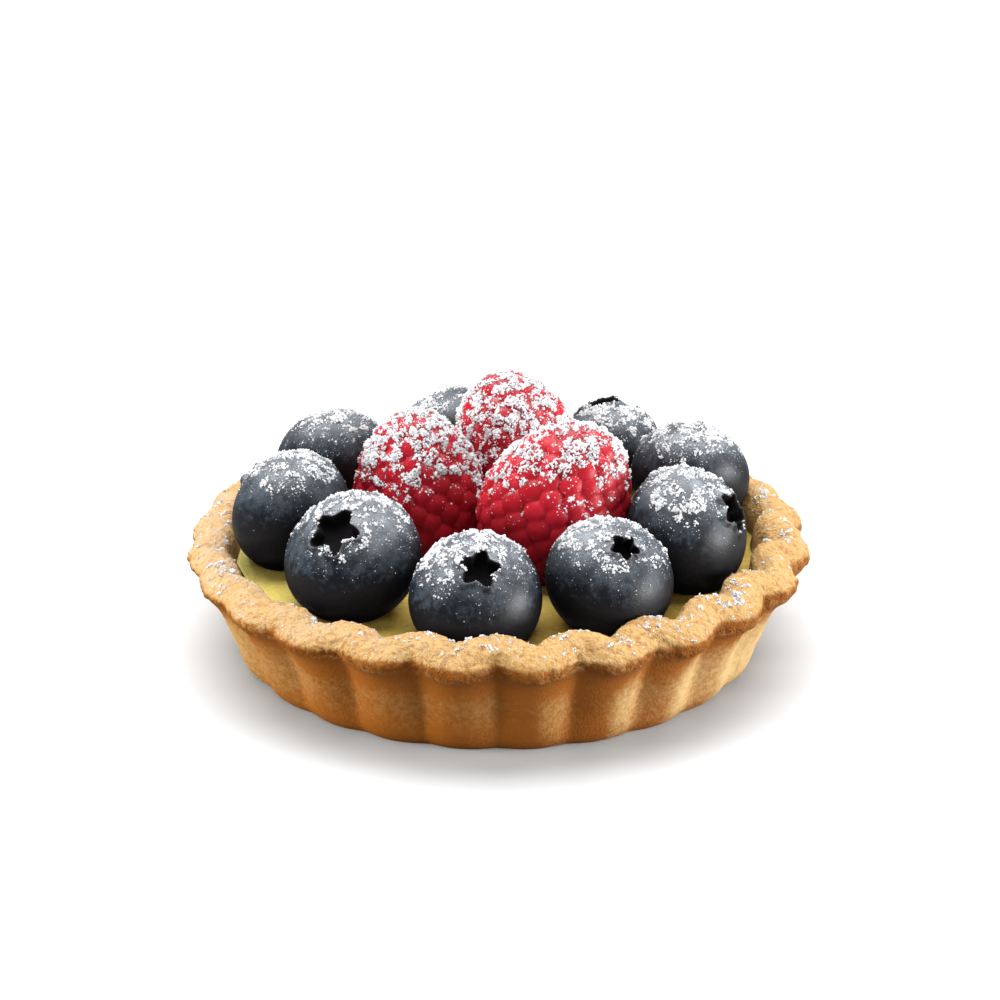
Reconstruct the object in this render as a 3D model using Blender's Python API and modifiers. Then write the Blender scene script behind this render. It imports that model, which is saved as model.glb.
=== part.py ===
"""A small berry tart: fluted shortcrust shell, custard, nine blueberries and three raspberries.

Sizes are in millimetres until the last step of each piece, which turns them into metres. The
origin is the centre of the flat underside, +Z is up and -Y is the side that faces the viewer.
"""

import math
import random

import bmesh
import bpy
from mathutils import Matrix, Vector

# Driving sizes, in millimetres.
MM = 0.001
FLUTES = 24
STEPS_PER_FLUTE = 6
CREASE_SOFTNESS = 0.16
CUSTARD_TOP = 12.2
CUSTARD_GAP = 0.33
POCKET_GAP = 0.42
BERRY_REST = 11.3
SWAY_START = 5.0
SWAY_FULL = 13.0
LIFT_START = 12.0
LIFT_FULL = 14.5

# One cut through the shell, from the middle of its floor, over the rim, to the middle of its
# underside. Each row gives radius and height at a bulge, then radius and height at a crease,
# and whether the row lies on the inner or the outer side.
SHELL_SECTION = (
    ("floor centre", 0.0, 3.2, 0.0, 3.2, "inner"),
    ("floor edge", 28.0, 3.2, 28.0, 3.2, "inner"),
    ("inner foot", 30.2, 4.4, 30.2, 4.4, "inner"),
    ("inner wall", 32.4, 8.8, 32.1, 8.8, "inner"),
    ("inner top", 33.9, 12.4, 33.1, 12.4, "inner"),
    ("inner lip", 34.6, 14.0, 33.2, 14.5, "inner"),
    ("inner crown", 35.3, 15.1, 34.1, 16.2, "inner"),
    ("crown", 36.9, 15.4, 36.3, 16.3, "inner"),
    ("outer crown", 38.9, 14.8, 37.9, 15.2, "outer"),
    ("edge", 40.0, 13.5, 38.4, 13.9, "outer"),
    ("under the lip", 39.4, 12.1, 37.7, 12.4, "outer"),
    ("wall top", 38.2, 10.9, 36.6, 11.0, "outer"),
    ("wall middle", 35.8, 6.0, 34.4, 6.0, "outer"),
    ("foot", 33.3, 0.5, 32.7, 0.5, "outer"),
    ("underside edge", 32.7, 0.0, 32.1, 0.0, "outer"),
    ("underside centre", 0.0, 0.0, 0.0, 0.0, "outer"),
)

# Slow unevenness round the rim: how much, how many waves in a turn, and where they start.
RADIAL_SWAY = ((0.18, 2, 0.6), (0.15, 5, 2.1), (0.12, 9, 4.0))
SLUMP_ANGLE = 157.0
SLUMP_WIDTH = 22.0
SLUMP_SIZE = 0.75
RIM_LIFT = ((0.55, 1, 1.2), (0.22, 3, 1.1), (0.18, 7, 0.4))

# At the left the rim was trimmed nearly flat, so its scallops are shallower there.
CALM_ANGLE = 190.0
CALM_WIDTH = 60.0
CALM_SIZE = 0.6
CALM_START = 9.0
CALM_FULL = 13.0

# Where each blueberry sits, the way its crown points, its radius, its height over its width,
# how many segments its star is turned by and the size of that star.
BLUEBERRIES = (
    ((-17.78, -17.30, 18.80), (-0.34, -0.535, 0.777), 8.72, 0.75, 3, 0.38),
    ((-2.59, -25.37, 17.01), (0.07, -0.58, 0.81), 8.22, 0.87, 5, 0.32),
    ((13.82, -21.81, 17.86), (0.245, -0.479, 0.843), 8.00, 0.85, 4, 0.24),
    ((24.02, -9.28, 18.99), (0.79, -0.34, 0.51), 8.32, 0.86, 2, 0.32),
    ((25.45, 8.64, 19.48), (0.21, 0.645, 0.73), 7.77, 0.85, 7, 0.27),
    ((15.28, 22.75, 17.95), (-0.2, 0.145, 0.96), 6.98, 0.88, 3, 0.40),
    ((-6.13, 26.10, 18.34), (-0.3, 0.5, 0.8), 7.31, 0.86, 6, 0.29),
    ((-21.80, 14.45, 18.83), (-0.35, 0.767, 0.54), 7.92, 0.84, 1, 0.30),
    ((-26.42, -2.65, 18.78), (-0.72, 0.50, 0.47), 8.11, 0.87, 4, 0.30),
)
BLUEBERRY_SEGMENTS = 20
STAR_POINTS = 5
STAR_INNER_SHARE = 0.55
STAR_FLOOR_SHARE = 0.82
CALYX_DEPTH = 0.16
CALYX_LIP = 0.015
SHOULDER_ANGLES = (27, 47, 68, 90, 114, 143)

# Where each raspberry sits, the way its tip points, its radius and its height over its width.
RASPBERRIES = (
    ((-10.11, 1.45, 20.14), (-0.05, -0.05, 1.0), 8.59, 1.28),
    ((2.58, 13.27, 21.28), (-0.25, 0.12, 0.95), 8.56, 1.24),
    ((7.69, -5.78, 21.34), (0.5, -0.08, 0.86), 9.34, 1.22),
)
DRUPELETS_ALL_ROUND = 94
TIP_TAPER = 0.13
DRUPELET_PEAK = 1.004
DRUPELET_VALLEY = 0.935
DRUPELET_UNEVENNESS = 0.008
DRUPELET_JITTER = 0.035


def clear_scene():
    """Leaves an empty file."""
    for thing in list(bpy.data.objects):
        bpy.data.objects.remove(thing)


def new_collection(name, hidden):
    """A collection of the scene, hidden from renders if it holds only cutters."""
    collection = bpy.data.collections.new(name)
    collection.hide_render = hidden
    bpy.context.scene.collection.children.link(collection)
    return collection


def new_material(name, colour, roughness):
    """A plain Principled material."""
    material = bpy.data.materials.new(name)
    material.use_nodes = True
    shader = material.node_tree.nodes["Principled BSDF"]
    shader.inputs["Base Color"].default_value = (*colour, 1.0)
    shader.inputs["Roughness"].default_value = roughness
    return material


def new_object(name, mesh, collection, material=None):
    """An object of this mesh in this collection, shaded smooth."""
    thing = bpy.data.objects.new(name, mesh)
    collection.objects.link(thing)
    for face in mesh.polygons:
        face.use_smooth = True
    if material:
        mesh.materials.append(material)
    return thing


def add_boolean(thing, cutter):
    """Takes the cutter out of the object."""
    boolean = thing.modifiers.new("pocket for " + cutter.name, "BOOLEAN")
    boolean.operation = "DIFFERENCE"
    boolean.solver = "EXACT"
    boolean.object = cutter


def smooth_step(low, high, value):
    """Rises from 0 at low to 1 at high, level at both ends."""
    share = min(max((value - low) / (high - low), 0.0), 1.0)
    return share * share * (3.0 - 2.0 * share)


def wave_sum(waves, angle):
    """The sum of a few sine waves round the tart."""
    return sum(size * math.sin(count * angle + start) for size, count, start in waves)


def bulge_share(angle, side):
    """1 at the middle of a bulge and 0 at a crease: sharp at creases outside, at bulges inside."""
    phase = FLUTES / 2 * (angle + math.pi / 2)
    outside = side == "outer"
    wave = math.sin(phase) if outside else math.cos(phase)
    softened = math.hypot(wave, CREASE_SOFTNESS) - CREASE_SOFTNESS
    share = softened / (math.hypot(1.0, CREASE_SOFTNESS) - CREASE_SOFTNESS)
    return share if outside else 1.0 - share


def calmed(share, height, angle):
    """The share of a bulge, drawn towards a half where the rim is nearly flat."""
    turn = (math.degrees(angle) - CALM_ANGLE + 180.0) % 360.0 - 180.0
    calm = CALM_SIZE * math.exp(-((turn / CALM_WIDTH) ** 2))
    return 0.5 + (share - 0.5) * (1.0 - calm * smooth_step(CALM_START, CALM_FULL, height))


def swayed(radius, height, angle):
    """The radius and height of a shell point after the slow unevenness of the rim."""
    turn = (math.degrees(angle) - SLUMP_ANGLE + 180.0) % 360.0 - 180.0
    slump = SLUMP_SIZE * math.exp(-((turn / SLUMP_WIDTH) ** 2))
    radial = smooth_step(SWAY_START, SWAY_FULL, height) * (wave_sum(RADIAL_SWAY, angle) + slump)
    lift = smooth_step(LIFT_START, LIFT_FULL, height) * wave_sum(RIM_LIFT, angle)
    return radius + radial, height + lift


def turned(profile):
    """The profile of (radius, height) points turned round the Z axis, one step a few degrees."""
    steps = FLUTES * STEPS_PER_FLUTE
    mesh = bpy.data.meshes.new("profile")
    points = [(radius * MM, 0.0, height * MM) for radius, height in profile]
    edges = [(i, i + 1) for i in range(len(points) - 1)]
    mesh.from_pydata(points, edges, [])
    helper = bpy.data.objects.new("profile", mesh)
    bpy.context.scene.collection.objects.link(helper)
    screw = helper.modifiers.new("turn", "SCREW")
    screw.steps = steps
    screw.render_steps = steps
    screw.use_merge_vertices = True
    screw.merge_threshold = 0.00001
    graph = bpy.context.evaluated_depsgraph_get()
    result = bpy.data.meshes.new_from_object(helper.evaluated_get(graph))
    bpy.data.objects.remove(helper)
    return result


def build_shell(collection):
    """The fluted crust, one solid with its rim, wall and floor."""
    at_bulge = {(row[1], row[2]): row for row in SHELL_SECTION}
    mesh = turned(list(at_bulge))
    for vertex in mesh.vertices:
        radius = math.hypot(vertex.co.x, vertex.co.y) / MM
        height = vertex.co.z / MM
        angle = math.atan2(vertex.co.y, vertex.co.x)
        nearest = min(at_bulge, key=lambda key: math.dist(key, (radius, height)))
        _, r_bulge, z_bulge, r_crease, z_crease, side = at_bulge[nearest]
        share = calmed(bulge_share(angle, side), z_bulge, angle)
        radius = r_crease + (r_bulge - r_crease) * share
        height = z_crease + (z_bulge - z_crease) * share
        radius, height = swayed(radius, height, angle)
        place = (radius * math.cos(angle), radius * math.sin(angle), height)
        vertex.co = Vector(place) * MM
    material = new_material("baked shortcrust", (0.72, 0.42, 0.18), 0.75)
    return new_object("crust", mesh, collection, material)


def inner_wall(height, angle):
    """The radius of the inside of the shell at this height, before the sway."""
    rows = [row for row in SHELL_SECTION if row[0] in ("inner foot", "inner wall", "inner top")]
    share = bulge_share(angle, "inner")
    line = [
        (r_crease + (r_bulge - r_crease) * calmed(share, z_bulge, angle), z_bulge)
        for _, r_bulge, z_bulge, r_crease, _, _ in rows
    ]
    for (r_low, z_low), (r_high, z_high) in zip(line, line[1:]):
        if height <= z_high + 0.001:
            return r_low + (r_high - r_low) * (height - z_low) / (z_high - z_low)
    return line[-1][0]


def build_custard(collection):
    """The custard that fills the shell, level on top, with a pocket under each berry."""
    floor = 3.2 + CUSTARD_GAP
    foot = 4.4 + CUSTARD_GAP
    heights = (CUSTARD_TOP, 8.8, foot)
    profile = [(0.0, CUSTARD_TOP)]
    profile += [(inner_wall(height, 0.0) - CUSTARD_GAP, height) for height in heights]
    profile += [(28.0 - CUSTARD_GAP, floor), (0.0, floor)]
    mesh = turned(profile)
    for vertex in mesh.vertices:
        radius = math.hypot(vertex.co.x, vertex.co.y) / MM
        height = vertex.co.z / MM
        if radius < 1.0 or height < foot - 0.1:
            continue
        angle = math.atan2(vertex.co.y, vertex.co.x)
        radius = inner_wall(height, angle) - CUSTARD_GAP
        radius, _ = swayed(radius, height, angle)
        vertex.co.x = radius * math.cos(angle) * MM
        vertex.co.y = radius * math.sin(angle) * MM
    material = new_material("egg custard", (0.83, 0.62, 0.16), 0.4)
    return new_object("custard", mesh, collection, material)


def berry_frame(axis):
    """The turn that takes +Z onto the axis of a berry."""
    up = Vector(axis).normalized()
    across = Vector((0.13, 1.0, 0.2)).cross(up).normalized()
    return Matrix((across, up.cross(across), up)).transposed()


def star_radius(azimuth, size, spin):
    """The edge of the star at the crown of a blueberry, as a share of its radius."""
    wave = abs(math.cos(STAR_POINTS / 2 * (azimuth - spin)))
    return size * (STAR_INNER_SHARE + (1.0 - STAR_INNER_SHARE) * wave)


def blueberry_point(direction, size, spin):
    """The place on a berry of radius 1 that a corner of the plain sphere moves to."""
    rings = len(SHOULDER_ANGLES) + 3
    polar = math.acos(max(-1.0, min(1.0, direction.z)))
    ring = round(polar / math.pi * rings)
    azimuth = math.atan2(direction.y, direction.x)
    star = star_radius(azimuth, size, spin)
    top = math.sqrt(1.0 - star * star)
    if ring == 0:
        return Vector((0.0, 0.0, 1.0 - CALYX_DEPTH))
    if ring == 1:
        flat = star * STAR_FLOOR_SHARE
        return Vector((flat * math.cos(azimuth), flat * math.sin(azimuth), 1.0 - CALYX_DEPTH))
    if ring == 2:
        return Vector((star * math.cos(azimuth), star * math.sin(azimuth), top + CALYX_LIP))
    if ring == rings:
        return Vector((0.0, 0.0, -1.0))
    angle = math.radians(SHOULDER_ANGLES[ring - 3])
    flat = math.sin(angle)
    return Vector((flat * math.cos(azimuth), flat * math.sin(azimuth), math.cos(angle)))


def build_blueberry(index, collection, material):
    """A blueberry: a slightly flattened ball with a hollow star at its crown."""
    centre, axis, radius, squash, spin, star = BLUEBERRIES[index]
    chance = random.Random(100 + index)
    lean = [chance.uniform(0.0, math.tau) for _ in range(2)]
    spin = spin * math.tau / BLUEBERRY_SEGMENTS
    turn = berry_frame(axis)
    ball = bmesh.new()
    rings = len(SHOULDER_ANGLES) + 3
    bmesh.ops.create_uvsphere(
        ball, u_segments=BLUEBERRY_SEGMENTS, v_segments=rings, radius=1.0
    )
    for vertex in ball.verts:
        azimuth = math.atan2(vertex.co.y, vertex.co.x)
        place = blueberry_point(vertex.co, star, spin)
        uneven = 1.0 + 0.012 * math.cos(2 * azimuth + lean[0])
        uneven += 0.008 * math.cos(3 * azimuth + lean[1])
        place = Vector((place.x * uneven, place.y * uneven, place.z * squash)) * radius
        vertex.co = (turn @ place + Vector(centre)) * MM
    mesh = bpy.data.meshes.new("blueberry")
    ball.to_mesh(mesh)
    ball.free()
    return new_object(f"blueberry_{index + 1}", mesh, collection, material)


def sphere_lattice(count, chance):
    """Directions spread evenly over a sphere in a spiral, each pushed a little off its place."""
    golden = math.pi * (1.0 + math.sqrt(5.0))
    directions = []
    for i in range(count):
        z = 1.0 - 2.0 * (i + 0.5) / count
        flat = math.sqrt(1.0 - z * z)
        place = Vector((flat * math.cos(golden * i), flat * math.sin(golden * i), z))
        push = [chance.uniform(-DRUPELET_JITTER, DRUPELET_JITTER) for _ in range(3)]
        directions.append((place + Vector(push)).normalized())
    return directions


def raspberry_point(direction, share, radius, tall):
    """The place on a raspberry, before it is leaned, for a direction and a share of its size."""
    flat = (1.0 - TIP_TAPER * direction.z) * radius * share
    return Vector((direction.x * flat, direction.y * flat, direction.z * radius * tall * share))


def build_raspberry(index, collection, material):
    """A raspberry: small drupelets set over a tapered dome, cut flat where it sits."""
    centre, axis, radius, tall = RASPBERRIES[index]
    chance = random.Random(7 + index)
    turn = berry_frame(axis)
    ball = bmesh.new()
    for direction in sphere_lattice(DRUPELETS_ALL_ROUND, chance):
        ball.verts.new(direction)
    bmesh.ops.convex_hull(ball, input=ball.verts)
    sunk = [
        vertex
        for vertex in ball.verts
        if (turn @ raspberry_point(vertex.co, 1.0, radius, tall)).z + centre[2] < BERRY_REST
    ]
    bmesh.ops.delete(ball, geom=sunk, context="VERTS")
    height = ball.verts.layers.float.new("height")
    for vertex in ball.verts:
        uneven = chance.uniform(-DRUPELET_UNEVENNESS, DRUPELET_UNEVENNESS)
        vertex[height] = DRUPELET_PEAK + uneven
    peaks = set(ball.verts)
    between = [edge for edge in ball.edges if len(edge.link_faces) == 2]
    for vertex in bmesh.ops.poke(ball, faces=ball.faces)["verts"]:
        vertex[height] = DRUPELET_VALLEY
    bmesh.ops.rotate_edges(ball, edges=between)
    spokes = [edge for edge in ball.edges if len(peaks & set(edge.verts)) == 1]
    bmesh.ops.subdivide_edges(ball, edges=spokes, cuts=1)
    rim = {vertex for edge in ball.edges if edge.is_boundary for vertex in edge.verts}
    for vertex in ball.verts:
        climb = (vertex[height] - DRUPELET_VALLEY) / (DRUPELET_PEAK - DRUPELET_VALLEY)
        domed = 1.0 - (1.0 - min(climb, 1.0)) ** 2
        share = vertex[height] + (domed - min(climb, 1.0)) * (DRUPELET_PEAK - DRUPELET_VALLEY)
        place = raspberry_point(vertex.co.normalized(), share, radius, tall)
        place = turn @ place + Vector(centre)
        if vertex in rim:
            place.z = BERRY_REST
        vertex.co = place * MM
    edges = [edge for edge in ball.edges if edge.is_boundary]
    bmesh.ops.holes_fill(ball, edges=edges, sides=0)
    bmesh.ops.recalc_face_normals(ball, faces=ball.faces)
    mesh = bpy.data.meshes.new("raspberry")
    ball.to_mesh(mesh)
    ball.free()
    return new_object(f"raspberry_{index + 1}", mesh, collection, material)


def build_pocket(berry, centre, collection):
    """A cutter a little larger than the berry, which leaves its pocket in the custard."""
    hull = bmesh.new()
    middle = Vector(centre) * MM
    for vertex in berry.data.vertices:
        out = vertex.co - middle
        hull.verts.new(vertex.co + out.normalized() * POCKET_GAP * MM)
    made = bmesh.ops.convex_hull(hull, input=hull.verts)
    loose = [thing for thing in made["geom_interior"] if isinstance(thing, bmesh.types.BMVert)]
    bmesh.ops.delete(hull, geom=loose, context="VERTS")
    bmesh.ops.recalc_face_normals(hull, faces=hull.faces)
    mesh = bpy.data.meshes.new("pocket")
    hull.to_mesh(mesh)
    hull.free()
    cutter = new_object("pocket_" + berry.name, mesh, collection)
    cutter.display_type = "WIRE"
    return cutter


def build_tart():
    """The whole tart."""
    clear_scene()
    tart = new_collection("berry tart", False)
    cutters = new_collection("cutters", True)
    build_shell(tart)
    custard = build_custard(tart)
    blue = new_material("blueberry skin", (0.045, 0.06, 0.115), 0.45)
    red = new_material("raspberry flesh", (0.55, 0.02, 0.04), 0.35)
    berries = []
    for index in range(len(BLUEBERRIES)):
        berry = build_blueberry(index, tart, blue)
        berries.append((berry, BLUEBERRIES[index][0]))
    for index in range(len(RASPBERRIES)):
        berry = build_raspberry(index, tart, red)
        berries.append((berry, RASPBERRIES[index][0]))
    for berry, centre in berries:
        add_boolean(custard, build_pocket(berry, centre, cutters))


build_tart()
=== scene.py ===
# %% [markdown]
# # A small berry tart
# A fluted shortcrust case holds egg custard, a ring of nine blueberries and three raspberries
# in the middle, and icing sugar has been sieved over it. Each food is one lesson: what it is,
# how its surface can be written as a formula, and how its finish is put together. Sizes are in
# millimetres and turn into metres when a mesh is made.

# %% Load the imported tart
import math
import random

import bpy
import numpy as np
from mathutils import Matrix, Vector


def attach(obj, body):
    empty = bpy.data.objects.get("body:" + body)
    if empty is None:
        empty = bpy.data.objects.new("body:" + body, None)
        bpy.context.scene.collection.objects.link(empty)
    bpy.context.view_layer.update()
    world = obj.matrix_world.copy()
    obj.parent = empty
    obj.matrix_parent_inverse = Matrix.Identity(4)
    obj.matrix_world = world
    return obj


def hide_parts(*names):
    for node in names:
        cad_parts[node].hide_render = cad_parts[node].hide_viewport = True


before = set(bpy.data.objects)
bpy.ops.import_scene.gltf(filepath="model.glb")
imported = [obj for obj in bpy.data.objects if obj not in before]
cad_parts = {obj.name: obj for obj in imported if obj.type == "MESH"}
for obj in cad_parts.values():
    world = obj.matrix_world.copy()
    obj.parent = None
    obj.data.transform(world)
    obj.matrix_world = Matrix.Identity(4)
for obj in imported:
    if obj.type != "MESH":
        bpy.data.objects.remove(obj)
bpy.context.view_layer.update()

MM = 0.001
print("solids:", ", ".join(sorted(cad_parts)))

# %% [markdown]
# ## Closed surfaces from rings
# Every food here is a ball as far as its topology goes, even the pastry case: start at the
# middle of its floor, walk over the rim and end at the middle of its underside. So one function
# is enough for all: it joins rings of points with quads and closes both ends with a fan. Whole
# arrays are used, because a Python loop over a hundred thousand points takes minutes.


# %% Rings into a mesh
def filled_mesh(name, points, corners, sizes, values, smooth=True):
    """A mesh: points in mm, the corner list of all faces, and each face's corner count."""
    mesh = bpy.data.meshes.new(name)
    mesh.vertices.add(len(points))
    mesh.vertices.foreach_set("co", (points * MM).astype(np.float32).ravel())
    mesh.loops.add(len(corners))
    mesh.loops.foreach_set("vertex_index", corners.astype(np.int32))
    mesh.polygons.add(len(sizes))
    starts = (np.cumsum(sizes) - sizes).astype(np.int32)
    mesh.polygons.foreach_set("loop_start", starts)
    mesh.update(calc_edges=True)
    if smooth:
        mesh.shade_smooth()
    else:
        mesh.shade_flat()
    for key, value in values.items():
        layer = mesh.attributes.new(key, "FLOAT", "POINT")
        layer.data.foreach_set("value", value.astype(np.float32).ravel())
    return mesh


def closed_mesh(name, rings, values, last=None):
    """Quads between rings, whose last column meets the first, and a fan at each end to the middle
    of its ring, or to the last point where one is given."""
    rows, columns = rings.shape[:2]
    ends = [rings[0].mean(axis=0), rings[-1].mean(axis=0) if last is None else last]
    points = np.concatenate([rings.reshape(-1, 3), ends])
    here = np.arange(rows * columns).reshape(rows, columns)
    right = np.roll(here, -1, axis=1)
    quads = np.stack([here[:-1], here[1:], right[1:], right[:-1]], axis=-1).reshape(-1, 4)
    start = np.full(columns, rows * columns)
    fans = np.stack([[start, here[0], right[0]], [start + 1, right[-1], here[-1]]])
    fans = fans.transpose(0, 2, 1).reshape(-1, 3)
    corners = np.concatenate([quads.ravel(), fans.ravel()])
    sizes = np.concatenate([np.full(len(quads), 4), np.full(len(fans), 3)])
    values = {
        key: np.concatenate([value.ravel(), [value[0].mean(), value[-1].mean()]])
        for key, value in values.items()
    }
    return filled_mesh(name, points, corners, sizes, values)


# %% A piece of the tart from its mesh
def linked(name, data):
    """An object with this data, in the scene."""
    thing = bpy.data.objects.new(name, data)
    bpy.context.scene.collection.objects.link(thing)
    return thing


def add_piece(name, mesh, material, slot=None, *nodes):
    """An object at the origin that rides on the tart, and stands for the named solids."""
    thing = linked(name, mesh)
    mesh.materials.append(material)
    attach(thing, "root")
    if nodes:
        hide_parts(*nodes)
    triangles = sum(len(face.vertices) - 2 for face in mesh.polygons)
    print(f"{name}: {len(mesh.vertices)} points, {triangles} triangles")


def grid_normals(rings):
    """Unit normals: the step from ring to ring crossed with the step along the ring."""
    along = np.roll(rings, -1, axis=1) - np.roll(rings, 1, axis=1)
    across = np.cross(np.gradient(rings, axis=0), along)
    return across / np.maximum(np.linalg.norm(across, axis=-1, keepdims=True), 1e-9)


# %% [markdown]
# ## Natural unevenness
# Baked dough and fruit are never exact, so every formula gets noise. Lattice noise puts a number
# on each corner of a grid of cubes and blends the eight round a point with a smooth step. A few
# layers, each finer and weaker, look grown or baked. The numbers come from a hash of the corner,
# so each run gives the same tart.


# %% Noise and smooth steps as array functions
HASH_X, HASH_Y, HASH_Z, HASH_SEED, HASH_MIX = 73856093, 19349663, 83492791, 2654435761, 1274126177


def smooth_step(low, high, value):
    """Rises from 0 at low to 1 at high, level at both ends: t squared times (3 - 2t)."""
    share = np.clip((value - low) / (high - low), 0.0, 1.0)
    return share * share * (3.0 - 2.0 * share)


def lattice_noise(points, size, seed):
    """Noise from -1 to 1 whose lumps are about this size in mm."""
    scaled = np.asarray(points, np.float64) / size + 31.7 * seed
    cell = np.floor(scaled).astype(np.int64)
    share = scaled - cell
    share = share * share * (3.0 - 2.0 * share)
    total = np.zeros(scaled.shape[:-1])
    for corner in np.ndindex(2, 2, 2):
        x, y, z = np.moveaxis(cell + corner, -1, 0)
        code = (x * HASH_X) ^ (y * HASH_Y) ^ (z * HASH_Z) ^ (seed * HASH_SEED)
        code = (code ^ (code >> 13)) * HASH_MIX
        number = ((code ^ (code >> 16)) & 0xFFFF) / 32767.5 - 1.0
        weight = np.prod(np.where(corner, share, 1.0 - share), axis=-1)
        total += weight * number
    return total


def layered_noise(points, size, seed, layers=3):
    """Layers of noise, each half the size and half the strength of the one before."""
    total, weight = 0.0, 0.0
    for layer in range(layers):
        total = total + lattice_noise(points, size / 2**layer, seed + layer) / 2**layer
        weight += 0.5**layer
    return total / weight


# %% [markdown]
# ## The shape of the pastry case
# The case is shortcrust pressed into a fluted tin: 24 scallops outside, a thick rolled rim and a
# sloping wall. Its section is a list of places, each given twice, once at the middle of a bulge
# and once in a crease, and a wave round the tart says how much of each to take. The wave is
# sharp in the creases outside and sharp on the ridges inside, as pastry is when it is pushed
# into a tin. Slow waves and one slump at the left keep it from being a perfect circle.

# %% The section of the case
FLUTES = 24
CREASE_SOFTNESS = 0.16
SHELL_SECTION = (  # radius and height at a bulge, then at a crease, then 1 on the outer side
    (28.0, 3.2, 28.0, 3.2, 0),
    (30.2, 4.4, 30.2, 4.4, 0),
    (32.4, 8.8, 32.1, 8.8, 0),
    (33.9, 12.4, 33.1, 12.4, 0),
    (34.6, 14.0, 33.2, 14.5, 0),
    (35.3, 15.1, 34.1, 16.2, 0),
    (36.9, 15.4, 36.3, 16.3, 0),
    (38.9, 14.8, 37.9, 15.2, 1),
    (40.0, 13.5, 38.4, 13.9, 1),
    (39.4, 12.1, 37.7, 12.4, 1),
    (38.2, 10.9, 36.6, 11.0, 1),
    (35.8, 6.0, 34.4, 6.0, 1),
    (33.3, 0.5, 32.7, 0.5, 1),
    (32.7, 0.0, 32.1, 0.0, 1),
)
STEPS_BETWEEN = (2, 3, 4, 6, 6, 7, 9, 7, 6, 6, 13, 14, 3)
FLOOR_RINGS = 4
SHELL_COLUMNS = 960
RADIAL_SWAY = ((0.18, 2, 0.6), (0.15, 5, 2.1), (0.12, 9, 4.0))
RIM_LIFT = ((0.55, 1, 1.2), (0.22, 3, 1.1), (0.18, 7, 0.4))
SLUMP_ANGLE = 157.0
SLUMP_WIDTH = 22.0
SLUMP_SIZE = 0.75
CALM_ANGLE = 190.0
CALM_WIDTH = 60.0
CALM_SIZE = 0.6


# %% The waves that shape the case
def wave_sum(waves, angle):
    """The sum of a few sine waves round the tart: size times sine of count times angle."""
    return sum(size * np.sin(count * angle + start) for size, count, start in waves)


def bulge_share(angle, outside):
    """1 on a bulge and 0 in a crease: a rectified wave, softened by a hypotenuse."""
    phase = FLUTES / 2 * (angle + math.pi / 2)
    wave = np.where(outside > 0, np.sin(phase), np.cos(phase))
    share = np.hypot(wave, CREASE_SOFTNESS) - CREASE_SOFTNESS
    share = share / (math.hypot(1.0, CREASE_SOFTNESS) - CREASE_SOFTNESS)
    return np.where(outside > 0, share, 1.0 - share)


def calmed(share, height, angle):
    """Draws the share towards a half at the left, where the rim was trimmed nearly flat."""
    turn = (np.degrees(angle) - CALM_ANGLE + 180.0) % 360.0 - 180.0
    calm = CALM_SIZE * np.exp(-((turn / CALM_WIDTH) ** 2))
    return 0.5 + (share - 0.5) * (1.0 - calm * smooth_step(9.0, 13.0, height))


def swayed(radius, height, angle):
    """Moves a point of the case by the slow waves, more the higher it is."""
    turn = (np.degrees(angle) - SLUMP_ANGLE + 180.0) % 360.0 - 180.0
    slump = SLUMP_SIZE * np.exp(-((turn / SLUMP_WIDTH) ** 2))
    radial = smooth_step(5.0, 13.0, height) * (wave_sum(RADIAL_SWAY, angle) + slump)
    lift = smooth_step(12.0, 14.5, height) * wave_sum(RIM_LIFT, angle)
    return radius + radial, height + lift


def section_places(angle):
    """Radius and height of each place of the section at these angles: the crease's own, plus the
    share of the way to the bulge's."""
    rows = np.array(SHELL_SECTION)[:, :, None]
    share = calmed(bulge_share(angle[None], rows[:, 4]), rows[:, 1], angle[None])
    radius = rows[:, 2] + (rows[:, 0] - rows[:, 2]) * share
    height = rows[:, 3] + (rows[:, 1] - rows[:, 3]) * share
    return np.stack(swayed(radius, height, angle[None]), axis=-1)


# %% A smooth line through the section
def smooth_line(places, steps):
    """Hermite curve through the places: each tangent is the mean of the slopes on both sides,
    weighted so that the shorter side counts more. Gives the points and how far along each is."""
    gap = places[1:] - places[:-1]
    long = np.maximum(np.linalg.norm(gap, axis=-1, keepdims=True), 1e-6)
    slope = gap / long
    before, after = long[:-1], long[1:]
    inner = (slope[:-1] * after + slope[1:] * before) / (before + after)
    tangent = np.concatenate([slope[:1], inner, slope[-1:]])
    line, along = [], []
    for k, count in enumerate(steps):
        t = (np.arange(count) / count).reshape(-1, 1, 1)
        line.append(
            places[k] * (1 + 2 * t) * (1 - t) ** 2
            + tangent[k] * long[k] * t * (1 - t) ** 2
            + places[k + 1] * t * t * (3 - 2 * t)
            - tangent[k + 1] * long[k] * t * t * (1 - t)
        )
        along.append(k + t.ravel())
    line.append(places[-1:])
    along.append([len(places) - 1.0])
    return np.concatenate(line), np.concatenate(along)


# %% [markdown]
# ## The surface of the case
# Shortcrust has no gluten to hold it smooth, so the rim, which stood free of the tin, is puffed,
# crumbly and pitted, while the wall kept the polish of the tin. The puffs and crumbs are moved
# geometry, because they show in the outline, and only the sand-sized grain is left to a bump.

# %% The section carried round the tart
def around(radius, angle, height):
    """Points round the upright axis: radius times cosine, radius times sine, and the height."""
    parts = np.broadcast_arrays(radius * np.cos(angle), radius * np.sin(angle), height)
    return np.stack(parts, axis=-1)


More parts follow.
